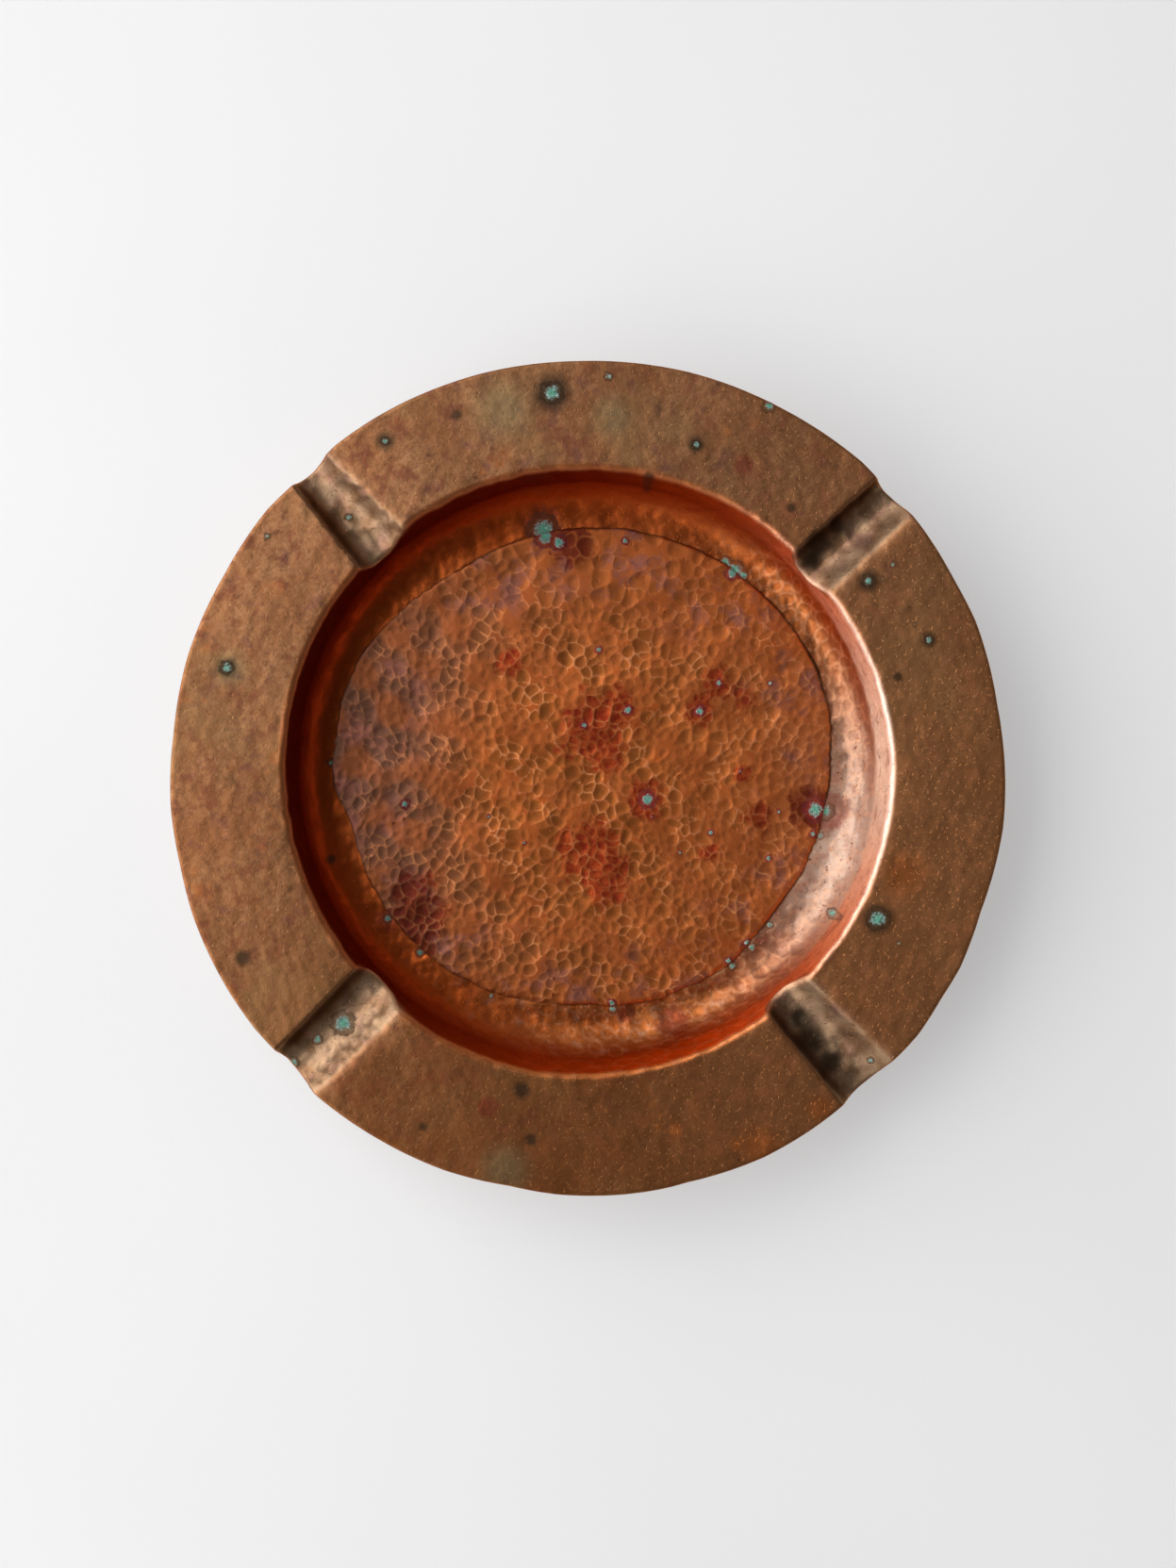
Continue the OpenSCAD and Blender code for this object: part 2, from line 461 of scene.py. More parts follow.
def sheet_blows(places, zones, bearing):
    """Height of the hammered top face over its smooth shape, and the way to the nearest ridge.

    The blows are small and round on the floor, tall on the wall, and broad and faint on the rim.
    """
    floor, wall, rim, rest = zones
    lively = side_bump(bearing, 302, 38) * floor
    squat = places * [1, 1, 0.6]
    warped = squat + 0.5 * np.stack([ripple(squat, 9, seed) for seed in (11, 12, 13)], -1)
    spacing = floor * FLOOR_WORK.gap + wall * WALL_WORK.gap + rim * RIM_WORK.gap + rest * REST_WORK.gap
    pick = scatter(warped[::3], spacing[::3], 21) * 3
    rng = np.random.default_rng(22)
    vary = rng.uniform(0.6, 1.4, len(pick))
    ball = floor * FLOOR_WORK.ball + wall * WALL_WORK.ball + rim * RIM_WORK.ball + rest * REST_WORK.ball
    ball = ball[pick] * rng.uniform(0.8, 1.3, len(pick))
    sink = (floor * FLOOR_WORK.sink + lively * LIVELY_SINK + wall * WALL_WORK.sink
            + rim * RIM_WORK.sink + rest * REST_WORK.sink)
    sink = sink[pick] * vary
    struck = [place_at(places, blow.bearing, blow.out, blow.left) for blow in REST_BLOWS]
    pick = np.concatenate([pick, struck])
    ball = np.concatenate([ball, [blow.ball for blow in REST_BLOWS]])
    sink = np.concatenate([sink, [blow.sink for blow in REST_BLOWS]])
    dent, move, _ = hammer(warped, warped[pick], ball, sink)
    rim_sag = 0.12 + 0.12 * ripple(places, 34, 31)
    well_swell = (0.09 + 0.05 * lively) * ripple(places, 8, 34) + 0.03 * ripple(places, 2.4, 35)
    dent -= rim * rim_sag + 0.02 * ripple(places, 3.1, 32)
    dent += (floor + wall) * well_swell
    return dent, np.linalg.norm(move, axis=1)


def rounded_edge(last_ring, outward):
    """Rings of the upper half of the sheet's rounded edge."""
    line = last_ring - [0, 0, SHEET / 2]
    return np.array([line + outward * EDGE_ROUND * math.sin(a) + [0, 0, SHEET / 2 * math.cos(a)]
                     for a in np.radians([30, 60, 90])])


def underside(columns, edge, edge_line, outward):
    """Underside of the sheet with its own faint blows, from the edge in to the middle."""
    below = under_rows(edge)
    no_seam = np.full_like(edge, 200.0)
    skin, _ = press_sheet(below, columns, no_seam)
    normal = face_normals(skin[::-1])[::-1]
    under = skin - normal * SHEET
    tall = under.reshape(-1, 3) * [1, 1, 0.7]
    struck = scatter(tall, np.full(len(tall), 6.0), 41)
    rng = np.random.default_rng(42)
    ball = rng.uniform(30, 45, len(struck))
    sink = rng.uniform(0.1, 0.24, len(struck))
    dent, _, _ = hammer(tall, tall[struck], ball, sink)
    under += normal * dent.reshape(below.shape)[..., None]
    under[..., 2] = np.maximum(under[..., 2], 0)
    under[0] = edge_line - [0, 0, SHEET / 2] - outward * 0.25
    return under


def ring_quads(first, count):
    """Quads from a closed ring of points to the next one, whose points follow straight after it."""
    here = np.arange(count)
    after = (here + 1) % count
    return first + np.stack([here, count + here, count + after, after], -1)


def dish_faces(rings, count, under_rings):
    """Quads and triangles of the dish.

    The points are the rings of the top face, the rings of the underside with half as many points
    in each, the middle of the top face and the middle of the underside.
    """
    fewer = count // 2
    start = rings * count
    quads = [ring_quads(i * count, count) for i in range(rings - 1)]
    quads += [ring_quads(start + i * fewer, fewer) for i in range(under_rings - 1)]
    here = np.arange(fewer)
    after = (here + 1) % fewer
    last = (rings - 1) * count
    even, odd, following = last + 2 * here, last + 2 * here + 1, last + (2 * here + 2) % count
    near, far = start + here, start + after
    inner = start + (under_rings - 1) * fewer
    middle = inner + fewer
    bottom = middle + 1
    innermost = np.arange(count)
    triangles = np.concatenate([
        np.stack([even, near, odd], -1), np.stack([odd, far, following], -1),
        np.stack([odd, near, far], -1),
        np.stack([np.full(count, middle), innermost, (innermost + 1) % count], -1),
        np.stack([np.full(fewer, bottom), inner + after, inner + here], -1),
    ])
    return np.concatenate(quads), triangles


def dish_marks(places, zones, bearing, along, seam):
    """Masks for the dish's material, one value for each place on the top face."""
    floor, wall, rim, rest = zones
    seam_way = np.abs(along - seam).ravel()
    seam_width = np.maximum(0.7 + 0.35 * ripple(places, 12, 71), 0.35)
    along = along.ravel()
    # Painted shade: the wall and foot on the window's side face away from it, and the mask made from this
    # darkens and reddens them.
    shaded = ease(np.abs(turned_from(bearing, 114)), 128, 58)
    mouth = bump(along, WALL_END + 1.6, 1.3)
    # Painted highlight: pale where the window's reflection falls on the floor and wall that face it, and
    # on the mouth above that wall.
    wall_highlight = side_bump(bearing, 319, 34)
    pale = side_bump(bearing, 300, 25) * floor + wall_highlight * wall
    return {
        "verdigris": spot_level(places, DISH_VERDIGRIS), "crimson": spot_level(places, DISH_CRIMSON),
        "soot": spot_level(places, DISH_SOOT), "pale_green": spot_level(places, DISH_PALE_GREEN),
        "orange": spot_level(places, DISH_ORANGE),
        "rim": rim, "rest": rest, "wall": wall, "well": floor + wall,
        # The seam's dark joint, painted darker on the side away from the window as the shadow of the
        # disc's edge.
        "seam": seam_shadow_side(bearing) * np.exp(-seam_way / seam_width),
        "mouth": bump(along, WALL_END + 1.3, 0.9),
        "net": side_bump(bearing, 235, 50) * ease(ripple(places, 4, 61), -0.4, 0.8) * floor * 0.8,
        # Painted shade on the wall and foot that face away from the window.
        "painted_wall_shade": shaded * ease(along, FOOT_START - 14, FOOT_END - 3) * (floor + wall),
        "pale": np.maximum(pale, wall_highlight * mouth),
        # Painted shade: the floor darkened round the window's highlight, to tone it down.
        "glow": side_bump(bearing, 312, 62) * floor,
        # Painted shade on the rim at bearing 228, and painted light on the rim at bearing 308.
        "brown": side_bump(bearing, 228, 62) * rim,
        "sunny": side_bump(bearing, 308, 55) * rim,
        # Painted shade along the crisp, steep side of each rest.
        "painted_crease_shade": crease_shade_level(*places[:, :2].T) * rest,
    }


def dish_mesh():
    """Points, faces and marks of the raised dish."""
    columns = column_bearings(DISH_COLUMNS)
    seam = way_to_reach(reach_of(disc_radius, columns))
    edge = MOUTH_END + reach_of(edge_radius, columns) - (WELL_REACH + MOUTH * math.cos(WALL_LEAN))
    along = top_rows(seam, edge)
    smooth, drop = press_sheet(along, columns, seam)
    places = smooth.reshape(-1, 3)
    zones = [zone.ravel() for zone in zone_of(along, drop)]
    bearing = polar(*(places[:, :2] - WELL).T)[1]
    marks = dish_marks(places, zones, bearing, along, seam)

    dent, marks["ridge"] = sheet_blows(places, zones, bearing)
    away_from_disc = ease(along, seam - 0.5, seam + 0.6).ravel()
    crust = ease(marks["verdigris"], 0.5, 0.8) * (0.12 + 0.1 * ripple(places, 1.1, 33))
    lift = dent * away_from_disc + crust
    top = smooth + face_normals(smooth) * lift.reshape(along.shape)[..., None]

    angle = np.radians(columns)
    outward = np.stack([np.cos(angle), np.sin(angle), np.zeros(len(angle))], -1)
    top = np.concatenate([top, rounded_edge(top[-1], outward)])
    under = underside(columns[::2], edge[::2], top[-1][::2], outward[::2])
    middles = [[*WELL, SHEET], [*WELL, 0]]
    points = np.concatenate([top.reshape(-1, 3), under.reshape(-1, 3), middles])
    quads, triangles = dish_faces(*top.shape[:2], len(under))
    return points, quads, triangles, marks, {"ridge": 2.0, "rim": 1.0}


# ---------------------------------------------------------------- the hammered disc

def disc_grid(side):
    """A square grid rolled evenly into a unit circle, as x and y of side by side points."""
    u, v = np.meshgrid(np.linspace(-1, 1, side), np.linspace(-1, 1, side), indexing="ij")
    wide = np.abs(u) > np.abs(v)
    big = np.where(wide, u, v)
    small = np.where(wide, v, u)
    turn = math.pi / 4 * np.divide(small, big, out=np.zeros_like(u), where=big != 0)
    return (np.where(wide, big * np.cos(turn), big * np.sin(turn)),
            np.where(wide, big * np.sin(turn), big * np.cos(turn)))


def rim_loop(side):
    """Indexes of the grid's outer points, in order counter-clockwise."""
    i = np.arange(side - 1)
    last = side - 1
    return np.concatenate([
        i * side, last * side + i, (last - i) * side + last, last - i,
    ])


def disc_blows(places):
    """Places on the disc, with the dent, way to the nearest ridge, tone and flatness of each.

    Places close to a ridge between blows are moved on to it, so that the ridge is crisp.
    """
    radius, bearing = polar(*places.T)
    warped = places + 0.35 * np.stack([ripple(places, 5.5, seed) for seed in (51, 52)], -1)
    flat_patch = side_bump(bearing, 42, 34) * ease(radius, 34, 56)
    spacing = 2.2 + 0.5 * ripple(places, 9, 53) + 1.8 * flat_patch
    pick = scatter(warped[::3], np.clip(spacing, 1.6, 5)[::3], 54) * 3
    rng = np.random.default_rng(55)
    ball = rng.uniform(10, 16, len(pick)) * (1 + 0.9 * flat_patch[pick])
    force = 0.5 + 0.5 * ease(ripple(places[pick], 14, 58), -0.9, 0.5)
    sink = (0.08 + 0.13 * rng.beta(1.6, 2.4, len(pick))) * force
    blows = warped[pick]
    dent, move, owner = hammer(warped, blows, ball, sink)
    close = np.linalg.norm(move, axis=1) < 0.17
    close &= disc_radius(bearing) - radius > 1
    places = places + move * close[:, None]
    warped = warped + move * close[:, None]
    dent, move, owner = hammer(warped, blows, ball, sink)
    tone = rng.uniform(0, 1, len(pick))[owner]
    return places, dent, np.linalg.norm(move, axis=1), tone, flat_patch


def disc_mesh():
    """Points, faces and marks of the hammered disc."""
    x, y = disc_grid(DISC_SIDE)
    radius, bearing = polar(x, y)
    reach = radius * disc_radius(bearing)
    places = np.stack([reach * np.cos(np.radians(bearing)), reach * np.sin(np.radians(bearing))], -1)
    places, dent, ridge, tone, flat_patch = disc_blows(places.reshape(-1, 2))

    radius, bearing = polar(*places.T)
    inside = disc_radius(bearing) - radius
    verdigris = spot_level(places, DISC_VERDIGRIS)
    # Mauve haze, also painted shade on the window's side, where the rim shades the disc.
    haze = side_bump(bearing, 132, 58) * ease(radius, 22, 52)
    haze += 0.6 * side_bump(bearing, 318, 26) * ease(radius, 42, 54)
    marks = {
        "ridge": ridge, "dent": dent, "tone": tone, "verdigris": verdigris, "haze": haze,
        "crimson": spot_level(places, DISC_CRIMSON),
        # The dark joint round the disc, painted darker on the side away from the window as the shadow of
        # its edge.
        "seam": seam_shadow_side(bearing) * np.exp(-inside / 0.7),
        "faint": np.maximum(ease(ripple(places, 14, 58), 0.3, -0.9), flat_patch),
        # Painted light on the disc's side away from the window, where the window lights it fully.
        "sunny": side_bump(bearing, 318, 75) * ease(radius, 12, 42),
        "outer": ease(radius, 38, 54),
    }

    crust = ease(verdigris, 0.5, 0.8) * (0.14 + 0.1 * ripple(places, 1.0, 56))
    swell = 0.10 * (ripple(places, 28, 57) - 1) + 0.05 * ripple(places, 11, 59)
    z = DISC_TOP + dent + crust + swell * ease(inside, 0, 8)
    z -= 0.18 * (1 - ease(inside, 0, 0.7))
    top = np.stack([*places.T, z], -1)

    loop = rim_loop(DISC_SIDE)
    edge = top[loop]
    way = edge[:, :2] / np.linalg.norm(edge[:, :2], axis=1)[:, None]
    floor_top = SHEET + FLOOR_RISE

    def hem(outwards, height):
        return np.concatenate([edge[:, :2] + way * outwards, np.full((len(loop), 1), height)], -1)

    skirts = [hem(0.1, floor_top + 0.22), hem(0.02, floor_top + 0.02), hem(-3.2, DISC_UNDER)]
    points = np.concatenate([top, *skirts, [[0, 0, DISC_UNDER]]])
    i, j = np.meshgrid(np.arange(DISC_SIDE - 1), np.arange(DISC_SIDE - 1), indexing="ij")
    corner = (i * DISC_SIDE + j).ravel()
    quads = [np.stack([corner, corner + DISC_SIDE, corner + DISC_SIDE + 1, corner + 1], -1)]
    rows = [loop] + [len(top) + n * len(loop) + np.arange(len(loop)) for n in range(3)]
    for upper, lower in zip(rows, rows[1:]):
        quads.append(np.stack([upper, lower, np.roll(lower, -1), np.roll(upper, -1)], -1))
    middle = len(points) - 1
    triangles = np.stack([np.full(len(loop), middle), np.roll(rows[-1], -1), rows[-1]], -1)
    return points, np.concatenate(quads), triangles, marks, {"ridge": 2.0, "tone": 0.5, "seam": 0.7}


def make_piece(name, points, quads, triangles, marks, plain):
    """Blender object in metres, smooth shaded, with one float attribute for each kind of mark.

    The marks belong to the first points. The points after them have the mark's plain value, or 0.
    """
    mesh = bpy.data.meshes.new(name)
    mesh.from_pydata((points * MM).tolist(), [], quads.tolist() + triangles.tolist())
    mesh.polygons.foreach_set("use_smooth", np.ones(len(mesh.polygons), bool))
    for kind, values in marks.items():
        after = np.full(len(points) - len(values), plain.get(kind, 0.0))
        layer = mesh.attributes.new(kind, "FLOAT", "POINT")
        layer.data.foreach_set("value", np.concatenate([values, after]).astype(np.float32))
    mesh.update()
    piece = bpy.data.objects.new(name, mesh)
    bpy.context.scene.collection.objects.link(piece)
    return piece


# ---------------------------------------------------------------- shader helpers

def tint(red, green, blue):
    """A colour from its 0 to 255 screen values."""
    parts = [value / 255 for value in (red, green, blue)]
    return [p / 12.92 if p <= 0.04045 else ((p + 0.055) / 1.055) ** 2.4 for p in parts] + [1.0]


def put(tree, kind, inputs, **settings):
    """Adds a shader node. An input is a plain value, or another node's output to link."""
    node = tree.nodes.new("ShaderNode" + kind)
    for name, value in settings.items():
        setattr(node, name, value)
    for name, value in inputs.items():
        if isinstance(value, bpy.types.NodeSocket):
            tree.links.new(value, node.inputs[name])
        else:
            node.inputs[name].default_value = value
    return node


def calc(tree, operation, first, second):
    """Result of a sum, kept between 0 and 1."""
    return put(tree, "Math", {0: first, 1: second}, operation=operation, use_clamp=True).outputs[0]


def times(tree, first, second):
    """Product of two masks."""
    return calc(tree, "MULTIPLY", first, second)


def plus(tree, first, second):
    """Sum of two values, free to go past 1."""
    return put(tree, "Math", {0: first, 1: second}, operation="ADD").outputs[0]


def spread(tree, value, start, end, low=0.0, high=1.0):
    """Smoothly maps start..end to low..high."""
    return put(tree, "MapRange", {"Value": value, "From Min": start, "From Max": end, "To Min": low,
                                  "To Max": high}, interpolation_type="SMOOTHSTEP").outputs[0]


def over(tree, share, under_colour, over_colour):
    """Lays one colour over another by a share."""
    return put(tree, "Mix", {0: share, 6: under_colour, 7: over_colour}, data_type="RGBA").outputs[2]


def mark(tree, name):
    """One of the masks stored on a piece's points."""
    return put(tree, "Attribute", {}, attribute_name=name).outputs["Fac"]


def clouds(tree, place, size, detail=4.0, rough=0.55, shift=0.0):
    """Soft noise, size millimetres across."""
    moved = put(tree, "Mapping", {"Vector": place, "Location": (shift, shift, shift)}).outputs[0]
    return put(tree, "TexNoise", {"Vector": moved, "Scale": 1 / (size * MM), "Detail": detail,
                                  "Roughness": rough}).outputs["Fac"]


def new_group(name, inputs, outputs):
    """Shader node group with float, colour or vector sockets, and its two end nodes."""
    kinds = {"value": "NodeSocketFloat", "colour": "NodeSocketColor", "vector": "NodeSocketVector"}
    group = bpy.data.node_groups.new(name, "ShaderNodeTree")
    for socket, kind, value in inputs:
        made = group.interface.new_socket(socket, in_out="INPUT", socket_type=kinds[kind])
        if value is not None:
            made.default_value = value
    for socket, kind in outputs:
        group.interface.new_socket(socket, in_out="OUTPUT", socket_type=kinds[kind])
    return group, group.nodes.new("NodeGroupInput").outputs, group.nodes.new("NodeGroupOutput").inputs


def patina_mottle_group():
    """Blotches of old patina at two sizes, with fine pepper over them."""
    group, given, result = new_group(
        "patina_mottle",
        [("Place", "vector", None), ("Broad", "value", 0.5), ("Fine", "value", 0.5)],
        [("Blotch", "value"), ("Freckle", "value"), ("Pepper", "value"), ("Grain", "value")])
    place = given["Place"]
    blotch = spread(group, clouds(group, place, 15, 6, 0.62), 0.40, 0.64)
    freckle = spread(group, clouds(group, place, 4.5, 5, 0.6, 0.31), 0.5, 0.66)
    pepper = spread(group, clouds(group, place, 1.1, 3, 0.6, 0.77), 0.6, 0.72)
    grain = spread(group, clouds(group, place, 1.7, 6, 0.75, 0.57), 0.35, 0.65)
    group.links.new(times(group, blotch, given["Broad"]), result["Blotch"])
    group.links.new(times(group, freckle, given["Fine"]), result["Freckle"])
    group.links.new(pepper, result["Pepper"])
    group.links.new(grain, result["Grain"])
    return group


def verdigris_group():
    """Crumbly green crust with a teal heart and pale grains, from the level of a mark."""
    group, given, result = new_group(
        "verdigris",
        [("Place", "vector", None), ("Level", "value", 0.0)],
        [("Crust", "value"), ("Halo", "value"), ("Ring", "value"), ("Colour", "colour")])
    ragged = clouds(group, given["Place"], 1.5, 6, 0.75, 0.13)
    grain = clouds(group, given["Place"], 0.6, 4, 0.75, 0.53)
    shifted = plus(group, given["Level"], ragged)
    crumbs = plus(group, grain, times(group, given["Level"], 0.8))
    crust = times(group, spread(group, shifted, 1.06, 1.2), spread(group, crumbs, 0.96, 1.1, 0.08, 1.0))
    halo = spread(group, shifted, 0.72, 1.05)
    ring = times(group, spread(group, shifted, 0.80, 0.9), spread(group, shifted, 1.02, 0.92))
    teal = over(group, spread(group, grain, 0.36, 0.56), tint(62, 104, 94), tint(116, 160, 148))
    heart = over(group, spread(group, given["Level"], 0.72, 0.95, 0, 0.7), teal, tint(84, 172, 146))
    frost = over(group, spread(group, given["Level"], 0.82, 0.62, 0, 0.7), heart, tint(148, 176, 176))
    colour = over(group, spread(group, grain, 0.56, 0.66, 0, 0.8), frost, tint(190, 208, 206))
    group.links.new(crust, result["Crust"])
    group.links.new(halo, result["Halo"])
    group.links.new(ring, result["Ring"])
    group.links.new(colour, result["Colour"])
    return group


def metal_skin_group():
    """Fine pits and planishing grain of old sheet, as a height."""
    group, given, result = new_group(
        "metal_skin", [("Place", "vector", None), ("Pits", "value", 0.5)], [("Height", "value")])
    pits = spread(group, clouds(group, given["Place"], 0.9, 3, 0.6, 0.21), 0.6, 0.7)
    grain = clouds(group, given["Place"], 2.4, 6, 0.65, 0.41)
    height = put(group, "Math", {0: grain, 1: times(group, pits, given["Pits"])},
                 operation="SUBTRACT").outputs[0]
    group.links.new(height, result["Height"])
    return group


PATINA_MOTTLE = patina_mottle_group()
VERDIGRIS = verdigris_group()
METAL_SKIN = metal_skin_group()


def use_group(tree, group, inputs):
    """Outputs of a node group placed in a tree."""
    return put(tree, "Group", inputs, node_tree=group).outputs


def new_material(name):
    """A material with an empty tree, and the place of a point in the piece's own space."""
    material = bpy.data.materials.new(name)
    material.use_nodes = True
    tree = material.node_tree
    tree.nodes.clear()
    place = tree.nodes.new("ShaderNodeTexCoord").outputs["Object"]
    return material, tree, place


def finish_material(tree, colour, metallic, roughness, height, bump_mm):
    """Joins a colour, a finish and a fine height to the surface, and gives its shader."""
    shape = put(tree, "Bump", {"Height": height, "Strength": 1.0, "Distance": bump_mm * MM}).outputs[0]
    shader = put(tree, "BsdfPrincipled", {"Base Color": colour, "Metallic": metallic,
                                          "Roughness": roughness, "Normal": shape})
    output = tree.nodes.new("ShaderNodeOutputMaterial")
    tree.links.new(shader.outputs[0], output.inputs["Surface"])
    return shader


# ---------------------------------------------------------------- materials

# Copper keeps its colour where it's seen edge on, as on the wall of the well
EDGE_COLOUR = tint(255, 184, 132)


def rim_patina(tree, place, mottle):
    """Planished rim: brown patina with red-brown blotches, olive haze and fine grain, with painted shade
    on one side and painted light on another.
    """
    colour = over(tree, times(tree, mottle["Blotch"], 0.7), tint(174, 124, 86), tint(150, 94, 58))
    colour = over(tree, times(tree, mottle["Grain"], 0.7), colour, tint(136, 88, 56))
    colour = over(tree, times(tree, mottle["Freckle"], 0.8), colour, tint(124, 70, 54))
    violet = spread(tree, clouds(tree, place, 6, 6, 0.7, 3.1), 0.54, 0.66, 0, 0.7)
    colour = over(tree, violet, colour, tint(122, 78, 68))
    smudge = spread(tree, clouds(tree, place, 3.6, 5, 0.7, 4.3), 0.56, 0.68, 0, 0.5)
    colour = over(tree, smudge, colour, tint(102, 70, 48))
    spatter = spread(tree, clouds(tree, place, 2.6, 5, 0.6, 3.9), 0.58, 0.76, 0, 0.6)
    colour = over(tree, spatter, colour, tint(84, 54, 34))
    olive = spread(tree, clouds(tree, place, 26, 3, 0.5, 0.9), 0.5, 0.7, 0, 0.5)
    colour = over(tree, olive, colour, tint(160, 126, 84))
    ember = spread(tree, clouds(tree, place, 9, 5, 0.65, 1.3), 0.6, 0.74, 0, 0.6)
    colour = over(tree, ember, colour, tint(196, 116, 62))
    # Painted shade: darker and browner at bearing 228. Painted light: lighter at bearing 308.
    colour = over(tree, times(tree, mark(tree, "brown"), 0.65), colour, tint(130, 72, 30))
    colour = over(tree, times(tree, mark(tree, "sunny"), 0.55), colour, tint(210, 140, 88))
    colour = over(tree, spread(tree, mark(tree, "orange"), 0.2, 0.9, 0, 0.6), colour, tint(206, 116, 58))
    pale = spread(tree, mark(tree, "pale_green"), 0.1, 0.9, 0, 0.4)
    return over(tree, pale, colour, tint(140, 136, 98))


def well_patina(tree, place, mottle):
    """Wall and floor of the well: orange-brown, painted pale as a highlight on the side that faces the
    window and darker round that highlight, netted with pale threads beside that, and painted dark red as
    shade on the side that faces away from the window."""
    colour = over(tree, mottle["Blotch"], tint(196, 112, 56), tint(176, 90, 38))
    colour = over(tree, times(tree, mark(tree, "wall"), 0.85), colour, tint(210, 98, 10))
    colour = over(tree, times(tree, mottle["Freckle"], 0.5), colour, tint(140, 74, 44))
    threads = spread(tree, clouds(tree, place, 3.4, 6, 0.7, 1.9), 0.5, 0.62)
    colour = over(tree, times(tree, mark(tree, "net"), threads), colour, tint(196, 146, 118))
    # Painted shade: the floor darkened round the window's highlight, to tone it down.
    colour = over(tree, times(tree, mark(tree, "glow"), 0.9), colour, tint(126, 70, 36))
    # Painted highlight: pale pinkish copper with freckles and pepper, where the window is reflected.
    highlight_colour = over(tree, mark(tree, "wall"), tint(194, 170, 154), tint(255, 236, 214))
    highlight_colour = over(tree, times(tree, mottle["Freckle"], 0.75), highlight_colour, tint(158, 116, 106))
    highlight_colour = over(tree, times(tree, mottle["Grain"], 0.3), highlight_colour, tint(176, 120, 84))
    highlight_colour = over(tree, times(tree, mottle["Pepper"], 0.8), highlight_colour, tint(120, 60, 40))
    colour = over(tree, mark(tree, "pale"), colour, highlight_colour)
    # Painted shade: dark red for the wall and foot that face away from the window.
    painted_shade_colour = over(tree, mark(tree, "wall"), tint(176, 64, 12), tint(118, 26, 2))
    return over(tree, mark(tree, "painted_wall_shade"), colour, painted_shade_colour)


def raised_copper():
    """Brown rim, smoky rests, redder well, worn lips, dark seam and green crusts of the dish, with painted
    highlight and painted shade on the well, painted shade in the rests' creases and painted shadow along
    the seam.
    """
    material, tree, place = new_material("raised_copper")
    mottle = use_group(tree, PATINA_MOTTLE, {"Place": place, "Broad": 0.8, "Fine": 0.8})
    well = well_patina(tree, place, mottle)
    colour = over(tree, plus(tree, mark(tree, "rim"), mark(tree, "rest")), well,
                  rim_patina(tree, place, mottle))
    smoky = spread(tree, clouds(tree, place, 6, 4, 0.5, 2.7), 0.40, 0.64)
    pearl = over(tree, smoky, tint(180, 152, 122), tint(134, 104, 78))
    violet = spread(tree, clouds(tree, place, 5, 3, 0.5, 3.3), 0.5, 0.66, 0, 0.6)
    pearl = over(tree, violet, pearl, tint(150, 116, 104))
    colour = over(tree, times(tree, mark(tree, "rest"), 0.7), colour, pearl)
    # Painted shade in the crisp crease of each rest.
    colour = over(tree, times(tree, mark(tree, "painted_crease_shade"), 0.7), colour, tint(62, 38, 20))
    worn = times(tree, spread(tree, mark(tree, "ridge"), 0.6, 0.0), mark(tree, "well"))
    # The wear colour is kept faint, and fades out in the painted shade of the wall.
    worn = times(tree, worn, spread(tree, mark(tree, "painted_wall_shade"), 0.5, 0.0, 0, 0.25))
    colour = over(tree, worn, colour, tint(236, 176, 132))
    colour = over(tree, times(tree, mark(tree, "mouth"), 0.35), colour, tint(226, 150, 96))
    # Painted highlight on the mouth's lip above the wall that faces the window.
    colour = over(tree, times(tree, mark(tree, "mouth"), mark(tree, "pale")), colour, tint(244, 220, 204))
    colour = over(tree, times(tree, mottle["Pepper"], 0.35), colour, tint(70, 46, 34))
    colour = over(tree, spread(tree, mark(tree, "soot"), 0.15, 0.7, 0, 0.75), colour, tint(56, 48, 38))
    crimson = plus(tree, mark(tree, "crimson"), clouds(tree, place, 2.6, 5, 0.65, 0.6))
    colour = over(tree, spread(tree, crimson, 0.7, 1.1, 0, 0.6), colour, tint(134, 56, 44))
    # Dark seam: the joint itself, painted darker on the side away from the window as the shadow of the
    # disc's edge.
    colour = over(tree, spread(tree, mark(tree, "seam"), 0.35, 0.75, 0, 0.92), colour, tint(36, 26, 16))
    green = use_group(tree, VERDIGRIS, {"Place": place, "Level": mark(tree, "verdigris")})
    colour = over(tree, times(tree, green["Halo"], 0.45), colour, tint(84, 70, 50))
    colour = over(tree, times(tree, green["Ring"], 0.6), colour, tint(50, 42, 38))
    colour = over(tree, green["Crust"], colour, green["Colour"])
    bare = calc(tree, "SUBTRACT", 1.0, green["Crust"])
    # The painted shade of the wall and the painted highlight are also made less metallic.
    dull = plus(tree, times(tree, mark(tree, "painted_wall_shade"), 0.25), times(tree, mark(tree, "pale"), 0.5))
    metallic = times(tree, calc(tree, "SUBTRACT", 0.93, dull), bare)
    rough = spread(tree, plus(tree, mark(tree, "rim"), mark(tree, "rest")), 0, 1, 0.37, 0.43)
    rough = plus(tree, rough, times(tree, green["Halo"], 0.3))
    rough = plus(tree, rough, times(tree, mottle["Freckle"], 0.12))
    skin = use_group(tree, METAL_SKIN, {"Place": place, "Pits": 0.5})["Height"]
    shader = finish_material(tree, colour, metallic, rough, skin, 0.10)
    shader.inputs["Specular Tint"].default_value = EDGE_COLOUR
    return material


